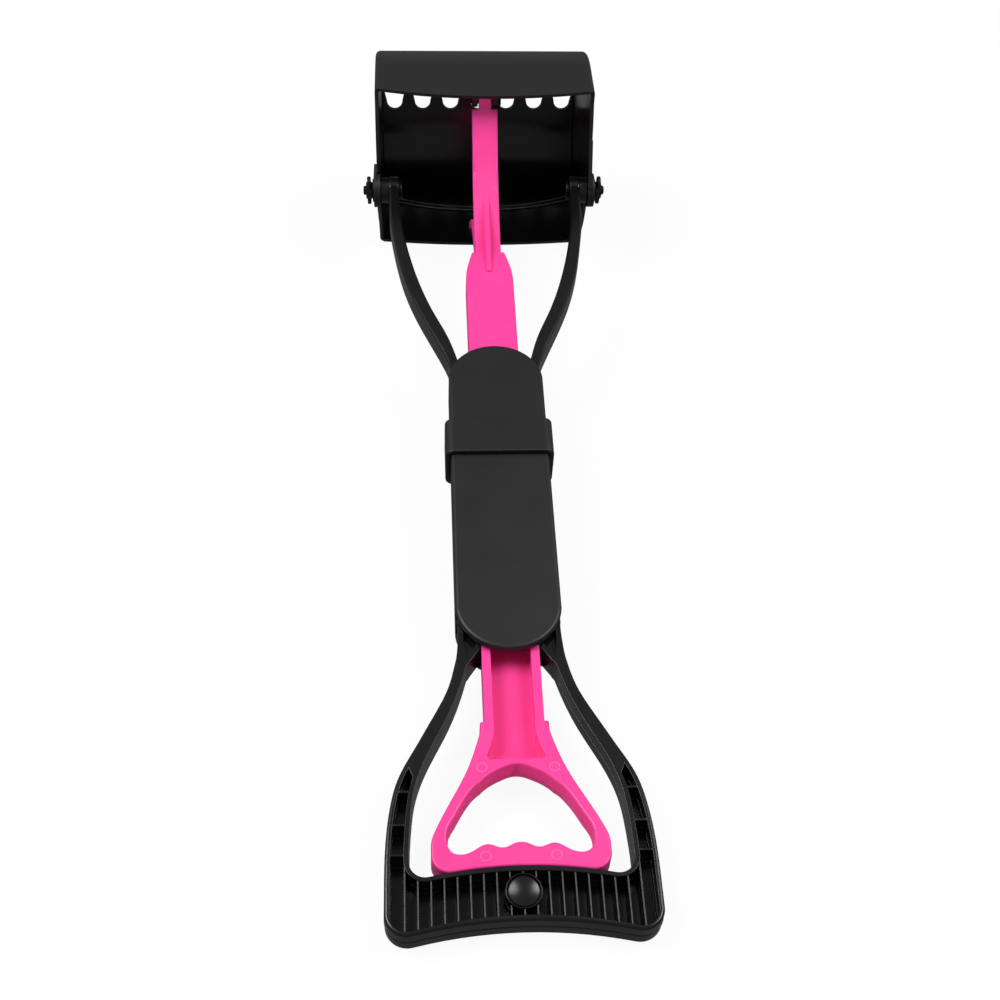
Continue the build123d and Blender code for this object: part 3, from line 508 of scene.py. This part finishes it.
def sectionLoops(name, stop):
    # the points and edges where a part's shape crosses the tool's middle plane, in mm
    shape = cleanCopy(name)
    cut = bmesh.ops.bisect_plane(shape, geom=shape.verts[:] + shape.edges[:] + shape.faces[:],
                                 dist=meshCare["cut"] * mm, plane_co=pivot, plane_no=up)["geom_cut"]
    edges = [e for e in cut if isinstance(e, bmesh.types.BMEdge)
             and all((fromWorld @ v.co).y < stop for v in e.verts)]
    points = list(dict.fromkeys(v for e in edges for v in e.verts))
    order = {point: number for number, point in enumerate(points)}
    loops = ([tuple(fromWorld @ v.co) for v in points], [tuple(order[v] for v in e.verts) for e in edges], [])
    shape.free()
    return loops


partingTree, size = startTree("partingLine", partingSizes)
partingCurve = addNode(partingTree, "GeometryNodeMeshToCurve", {"Mesh": size["Geometry"]})
endTree(partingTree, tubeAlong(partingTree, partingCurve, size["Wire"], 8), glossBlack)
finishPiece(grow("gripPartingLine", partingTree, partingSizes, sectionLoops("handle_frame", partingReach)),
            "handle_half", "black_plastic")
print("parting line grown")

# The low bead across the inside of each jaw: its two rounded edges, bowed like the rim and painted paler as a
# highlight
beadSizes = {"Points": 61, "Step": 136.8 / 60, "Edges": 2, "Gap": 3.0, "Near": 568.0, "Sagitta": 12.0,
             "HalfWidth": 71.0, "Centre": 566.0, "Radius": 58.7, "Wire": 0.5, "Side": 1.0}
for jaw, side in (("front", 1.0), ("back", -1.0)):
    beadSizes["Side"] = side
    beadTree, size = startTree(jaw + "JawBead", beadSizes)
    gap = addNode(beadTree, "ShaderNodeCombineXYZ", {"Y": size["Gap"]})
    edgeRow = addNode(beadTree, "GeometryNodeMeshLine", {"Count": size["Edges"], "Offset": gap})
    edges = copiesAt(beadTree, edgeRow, centredRow(beadTree, size["Points"], size["Step"]))
    here = pointPlace(beadTree)
    share = addNode(beadTree, "ShaderNodeMath", {0: here["X"], 1: size["HalfWidth"]}, operation="DIVIDE")
    share = addNode(beadTree, "ShaderNodeMath", {0: share, 1: share}, operation="MULTIPLY")
    bow = addNode(beadTree, "ShaderNodeMath", {0: share, 1: size["Sagitta"]}, operation="MULTIPLY")
    bow = addNode(beadTree, "ShaderNodeMath", {0: bow, 1: size["Near"]}, operation="ADD")
    lengthwise = addNode(beadTree, "ShaderNodeMath", {0: bow, 1: here["Y"]}, operation="ADD")
    # height on the jaw's round wall
    off = addNode(beadTree, "ShaderNodeMath", {0: lengthwise, 1: size["Centre"]}, operation="SUBTRACT")
    off = addNode(beadTree, "ShaderNodeMath", {0: off, 1: off}, operation="MULTIPLY")
    rise = addNode(beadTree, "ShaderNodeMath", {0: size["Radius"], 1: size["Radius"]}, operation="MULTIPLY")
    rise = addNode(beadTree, "ShaderNodeMath", {0: rise, 1: off}, operation="SUBTRACT")
    rise = addNode(beadTree, "ShaderNodeMath", {0: rise}, operation="SQRT")
    rise = addNode(beadTree, "ShaderNodeMath", {0: rise, 1: size["Side"]}, operation="MULTIPLY")
    spot = addNode(beadTree, "ShaderNodeCombineXYZ", {"X": here["X"], "Y": lengthwise, "Z": rise})
    edges = addNode(beadTree, "GeometryNodeSetPosition", {"Geometry": edges, "Position": spot})
    lines = addNode(beadTree, "GeometryNodeMeshToCurve", {"Mesh": edges})
    endTree(beadTree, tubeAlong(beadTree, lines, size["Wire"]), beadHighlightBlack)
    finishPiece(grow(jaw + "JawBead", beadTree, beadSizes), jaw + "_jaw", "black_plastic")
print("beads grown")

# The return spring inside the fork half: one round wire, stretched between its seat and the yoke
springSizes = {"Turns": 7.0, "Radius": 5.5, "Length": 52.0, "Wire": 0.5, "Start": 323.0, "Height": -0.6}
springTree, size = startTree("returnCoil", springSizes)
coil = addNode(springTree, "GeometryNodeCurveSpiral", {"Resolution": 36, "Rotations": size["Turns"],
                                                       "Start Radius": size["Radius"],
                                                       "End Radius": size["Radius"], "Height": size["Length"]})
coilSpot = addNode(springTree, "ShaderNodeCombineXYZ", {"Y": size["Start"], "Z": size["Height"]})
coil = addNode(springTree, "GeometryNodeTransform", {"Geometry": coil, "Translation": coilSpot,
                                                     "Rotation": (-math.pi / 2, 0, 0)})
endTree(springTree, tubeAlong(springTree, coil, size["Wire"]), darkSteel)
spring = grow("returnCoil", springTree, springSizes)
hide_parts("return_spring")
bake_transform(spring)
print("spring grown")

# Pan-head screws with a cross recess, sunk in the back covers
screwSizes = {"HeadRadius": 2.9, "HeadHeight": 1.8, "CrownRadius": 2.2, "RecessLength": 3.4, "RecessWidth": 0.8,
              "RecessDepth": 1.1, "ShankRadius": 1.4, "ShankLength": 10.0, "ShankSink": -0.49}
screwRows = {"handle_cover_screws": ("handle_half", (190.0, 262.0)),
             "fork_cover_screws": ("fork_half", (314.0, 338.0))}
screwSide = 20.4
screwHeight = -10.5
screwTree, size = startTree("coverScrews", screwSizes)
head = addNode(screwTree, "GeometryNodeMeshCone", {"Vertices": 32, "Radius Top": size["CrownRadius"],
                                                   "Radius Bottom": size["HeadRadius"],
                                                   "Depth": size["HeadHeight"]})
shank = addNode(screwTree, "GeometryNodeMeshCylinder", {"Vertices": 20, "Radius": size["ShankRadius"],
                                                        "Depth": size["ShankLength"]})
sink = addNode(screwTree, "ShaderNodeMath", {0: size["ShankLength"], 1: size["ShankSink"]}, operation="MULTIPLY")
shankSpot = addNode(screwTree, "ShaderNodeCombineXYZ", {"Z": sink})
shank = addNode(screwTree, "GeometryNodeTransform", {"Geometry": shank, "Translation": shankSpot})
union = addNode(screwTree, "GeometryNodeMeshBoolean", {"Mesh 2": head}, operation="UNION")
screwTree.links.new(shank.outputs[0], union.inputs["Mesh 2"])
cut = addNode(screwTree, "GeometryNodeMeshBoolean", {"Mesh 1": union}, operation="DIFFERENCE")
deep = addNode(screwTree, "ShaderNodeMath", {0: size["RecessDepth"], 1: 2.0}, operation="MULTIPLY")
barSpot = addNode(screwTree, "ShaderNodeCombineXYZ", {"Z": size["HeadHeight"]})
for wide, thick in (("RecessLength", "RecessWidth"), ("RecessWidth", "RecessLength")):
    barSize = addNode(screwTree, "ShaderNodeCombineXYZ", {"X": size[wide], "Y": size[thick], "Z": deep})
    bar = addNode(screwTree, "GeometryNodeMeshCube", {"Size": barSize})
    bar = addNode(screwTree, "GeometryNodeTransform", {"Geometry": bar, "Translation": barSpot})
    screwTree.links.new(bar.outputs[0], cut.inputs["Mesh 2"])
turned = addNode(screwTree, "GeometryNodeTransform", {"Geometry": cut, "Rotation": (math.pi, 0, 0)})
endTree(screwTree, copiesAt(screwTree, size["Geometry"], turned), darkSteel, smooth=False)
for name, (body, rows) in screwRows.items():
    spots = [(x, y, screwHeight) for x in (-screwSide, screwSide) for y in rows]
    piece = grow(name.replace("_cover_screws", "CoverScrews"), screwTree, screwSizes, (spots, [], []))
    finishPiece(piece, body, "zinc_steel", name)
print("screws grown")

# Low rings: the marks that the mould's ejector pins leave on flat faces, painted a paler pink as their highlight,
# and the thumb boss's fine rim
ringRows = {"pullHandleMarks": {"body": "trigger", "slot": "pink_plastic", "material": markHighlightPink, "Radius": 2.4,
                                "Wire": 0.2, "height": 7.0,
                                "spots": ((-16.6, 41.5), (16.2, 41.3), (-16.9, 87.0), (18.2, 86.6))},
            "thumbBossRim": {"body": "handle_half", "slot": "black_plastic", "material": glossBlack,
                             "Radius": 8.25, "Wire": 0.3, "height": 7.9, "spots": ((0.0, 24.0),)}}
for name, row in ringRows.items():
    ringSizes = {"Radius": row["Radius"], "Wire": row["Wire"]}
    ringTree, size = startTree(name, ringSizes)
    circle = addNode(ringTree, "GeometryNodeCurvePrimitiveCircle", {"Resolution": 48, "Radius": size["Radius"]})
    ring = tubeAlong(ringTree, circle, size["Wire"], 8)
    endTree(ringTree, copiesAt(ringTree, size["Geometry"], ring), row["material"])
    seed = ([(x, y, row["height"]) for x, y in row["spots"]], [], [])
    finishPiece(grow(name, ringTree, ringSizes, seed), row["body"], row["slot"])
print("mould marks grown")

# The CAD nodes that no finished piece replaces keep their shape
finishes = {"zinc_steel": darkSteel, "black_plastic": matteBlack, "nut_plastic": glossBlack,
            "pink_plastic": pinkPlastic}
for name, part in nodes.items():
    part.data.materials.clear()
    part.data.materials.append(finishes[slotOf[name]])

# The photo's camera, fitted to the tool: lens and sensor in mm, its place and its picture's directions
view = {"lens": 52.57, "sensor": 36, "near": 0.02, "from": (-44.25, pivotAt - 764.79, 635.51),
        "right": (0.99848, -0.04311, 0.03447), "down": (-0.01247, -0.78454, -0.61995)}
camera = bpy.data.objects.new("camera", bpy.data.cameras.new("camera"))
camera.data.lens = view["lens"]
camera.data.sensor_width = view["sensor"]
camera.data.clip_start = view["near"]
right = toolTurn @ Vector(view["right"])
lift = -(toolTurn @ Vector(view["down"]))
turn = Matrix((right, lift, right.cross(lift))).transposed().to_4x4()
camera.matrix_world = Matrix.Translation(toWorld @ Vector(view["from"])) @ turn
scene.collection.objects.link(camera)
scene.camera = camera

# White painted floor: seen nearly at full white by the camera and in reflections, with a faint shadow
floorLook = {"half": 4.0, "colour": "#F4F4F4", "bounceColour": "#D8D8D8", "seenWhite": 0.935,
             "mirroredWhite": 0.16}
half = floorLook["half"]
corners = [(-half, -half, 0), (half, -half, 0), (half, half, 0), (-half, half, 0)]
floorMesh = bpy.data.meshes.new("floor")
floorMesh.from_pydata(corners, [], [(0, 1, 2, 3)])
floor = bpy.data.objects.new("floor", floorMesh)
scene.collection.objects.link(floor)
floorMaterial, floorTree = startMaterial("paintedFloor")
rays = addNode(floorTree, "ShaderNodeLightPath").outputs
shade = addNode(floorTree, "ShaderNodeMix", {"Factor": rays["Is Camera Ray"],
                                             "A": hexColour(floorLook["bounceColour"]),
                                             "B": hexColour(floorLook["colour"])}, data_type="RGBA")
paint = addNode(floorTree, "ShaderNodeBsdfDiffuse", {"Color": shade.outputs["Result"]})
dimmed = addNode(floorTree, "ShaderNodeMath", {0: rays["Is Glossy Ray"], 1: 1 - floorLook["mirroredWhite"]},
                 operation="MULTIPLY")
white = addNode(floorTree, "ShaderNodeMath", {0: 1.0, 1: dimmed}, operation="SUBTRACT")
glow = addNode(floorTree, "ShaderNodeEmission", {"Color": hexColour("#FFFFFF"), "Strength": white})
seen = addNode(floorTree, "ShaderNodeMath", {0: rays["Is Camera Ray"], 1: floorLook["seenWhite"]},
               operation="MULTIPLY")
share = addNode(floorTree, "ShaderNodeMath", {0: seen, 1: rays["Is Glossy Ray"]}, operation="ADD")
both = addNode(floorTree, "ShaderNodeMixShader", {0: share, 1: paint, 2: glow})
addNode(floorTree, "ShaderNodeOutputMaterial", {"Surface": both})
floorMesh.materials.append(floorMaterial)

# The studio's soft light from all round, and a white backdrop for the camera
worldLook = {"light": 0.24, "seen": 1.0}
world = bpy.data.worlds.new("studio")
world.use_nodes = True
backdrop = world.node_tree.nodes["Background"]
backdrop.inputs["Color"].default_value = hexColour("#FFFFFF")
sky = addNode(world.node_tree, "ShaderNodeLightPath").outputs["Is Camera Ray"]
brightness = addNode(world.node_tree, "ShaderNodeMapRange", {"Value": sky, "To Min": worldLook["light"],
                                                             "To Max": worldLook["seen"]})
world.node_tree.links.new(brightness.outputs[0], backdrop.inputs["Strength"])
scene.world = world

lamps = {"key": {"from": (-1.15, 0.0, 1.75), "size": 1.1, "power": 28},
         "fill": {"from": (1.15, 0.0, 1.75), "size": 1.1, "power": 21},
         "leftStrip": {"from": (-1.5, 0.35, 0.8), "size": 0.5, "power": 2.5},
         "rightStrip": {"from": (1.5, 0.35, 0.8), "size": 0.5, "power": 2.5}}
for name, lamp in lamps.items():
    light = bpy.data.lights.new(name, "AREA")
    light.shape = "DISK"
    light.size = lamp["size"]
    light.energy = lamp["power"]
    holder = bpy.data.objects.new(name, light)
    holder.location = lamp["from"]
    holder.rotation_euler = (-Vector(lamp["from"])).to_track_quat("-Z", "Y").to_euler()
    scene.collection.objects.link(holder)
print("camera and light set")

scene.view_settings.view_transform = "Standard"
